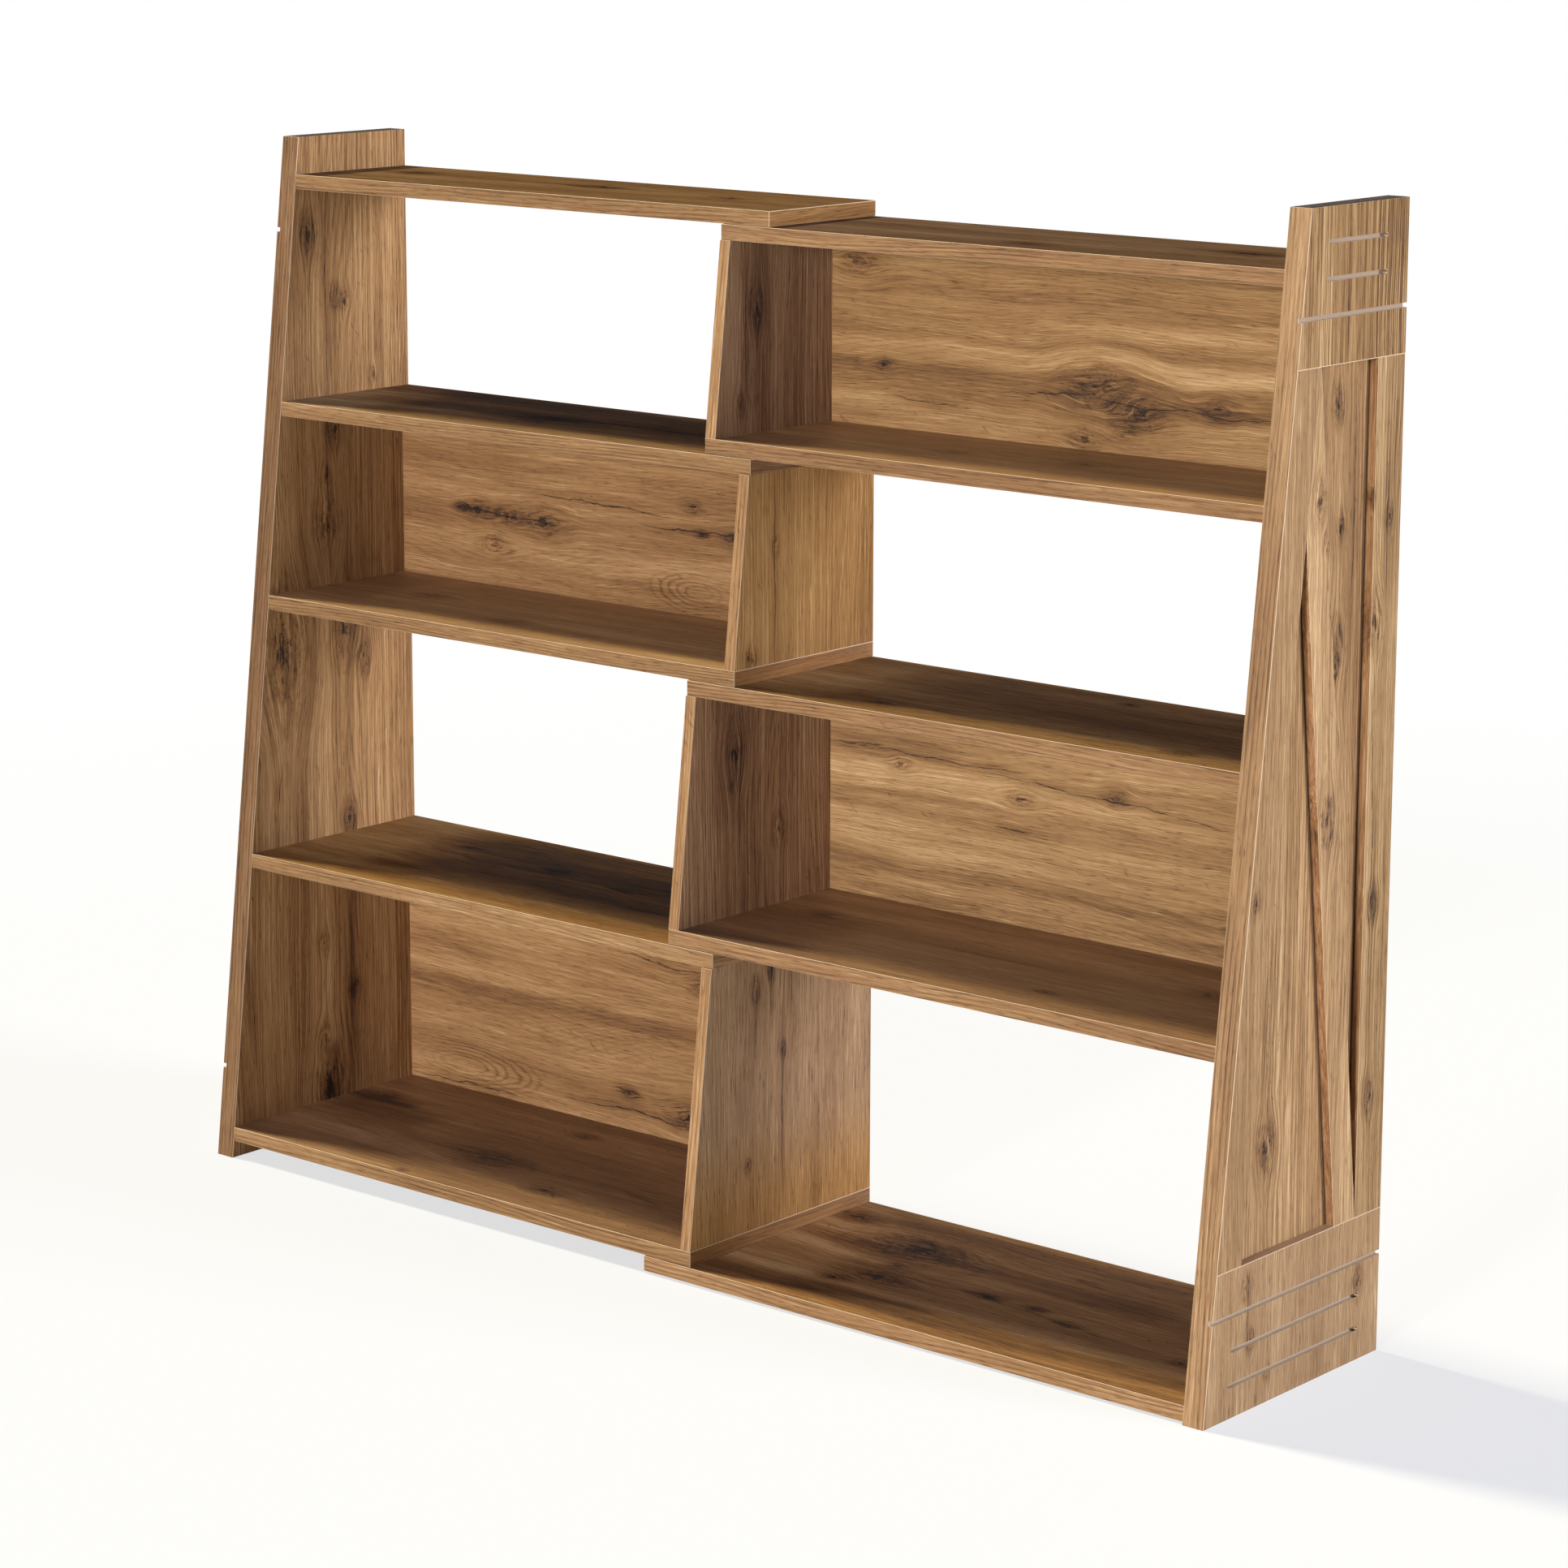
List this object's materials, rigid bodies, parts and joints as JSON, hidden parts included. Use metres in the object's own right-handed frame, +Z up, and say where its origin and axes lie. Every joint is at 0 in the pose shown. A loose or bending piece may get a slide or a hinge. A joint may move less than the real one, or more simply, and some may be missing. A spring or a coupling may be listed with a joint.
{
  "type": "expandable corner bookshelf",
  "caption": "Open wood bookshelf of two interleaved units with sloping fronts, which slide to change its width and turn about hidden pins to fit a corner.",
  "frame": {"origin": "under the middle of the bookshelf on the floor, at its full width", "axes": "+X along the width, to the right as seen from the front; +Y to the rear, towards the wall; +Z up"},
  "size_m": [1.53, 0.336, 1.285],
  "materials": {
    "oak_panel": "wood-grain melamine on board, matt, grain upright on the uprights",
    "oak_shelf": "wood-grain melamine on board, satin, grain along the shelf",
    "edge_band": "wood-grain plastic edging with a pale cut edge",
    "beech": "raw fluted dowel wood",
    "zinc": "die-cast zinc",
    "steel": "zinc-plated steel",
    "glide": "black plastic"
  },
  "bodies": {
    "left_unit": {"left_end_panel": "oak_panel", "left_top_rail": "oak_panel", "left_bottom_rail": "oak_panel", "left_front_stile": "oak_panel", "left_diagonal_brace": "oak_panel", "left_rear_stile": "oak_panel", "left_end_edge_band": "edge_band", "left_shelf_1": "oak_shelf", "left_shelf_2": "oak_shelf", "left_shelf_3": "oak_shelf", "left_shelf_4": "oak_shelf", "left_shelf_5": "oak_shelf", "left_shelf_edge_bands": "edge_band", "left_upper_divider": "oak_panel", "left_lower_divider": "oak_panel", "left_divider_edge_bands": "edge_band", "left_upper_back_panel": "oak_panel", "left_lower_back_panel": "oak_panel", "left_cam_locks": "zinc", "left_cam_bolts": "steel", "left_dowels": "beech", "left_back_dowels": "beech", "left_divider_screws": "steel"},
    "pivot": {"top_pivot_pin": "steel", "bottom_pivot_pin": "steel"},
    "right_unit": {"right_end_panel": "oak_panel", "right_top_rail": "oak_panel", "right_bottom_rail": "oak_panel", "right_front_stile": "oak_panel", "right_diagonal_brace": "oak_panel", "right_rear_stile": "oak_panel", "right_end_edge_band": "edge_band", "right_shelf_1": "oak_shelf", "right_shelf_2": "oak_shelf", "right_shelf_3": "oak_shelf", "right_shelf_4": "oak_shelf", "right_shelf_5": "oak_shelf", "right_shelf_edge_bands": "edge_band", "right_upper_divider": "oak_panel", "right_lower_divider": "oak_panel", "right_divider_edge_bands": "edge_band", "right_upper_back_panel": "oak_panel", "right_lower_back_panel": "oak_panel", "right_cam_locks": "zinc", "right_cam_bolts": "steel", "right_dowels": "beech", "right_back_dowels": "beech", "right_divider_screws": "steel", "right_floor_glides": "glide"}
  },
  "joints": [
    {"name": "width_slide", "type": "slide", "parent": "left_unit", "child": "pivot", "axis": [1, 0, 0], "range_m": [-0.43, 0]},
    {"name": "corner_hinge", "type": "hinge", "parent": "pivot", "child": "right_unit", "pos_m": [0, 0.133, 1.2156], "axis": [0, 0, 1], "range_deg": [-90, 0]}
  ]
}
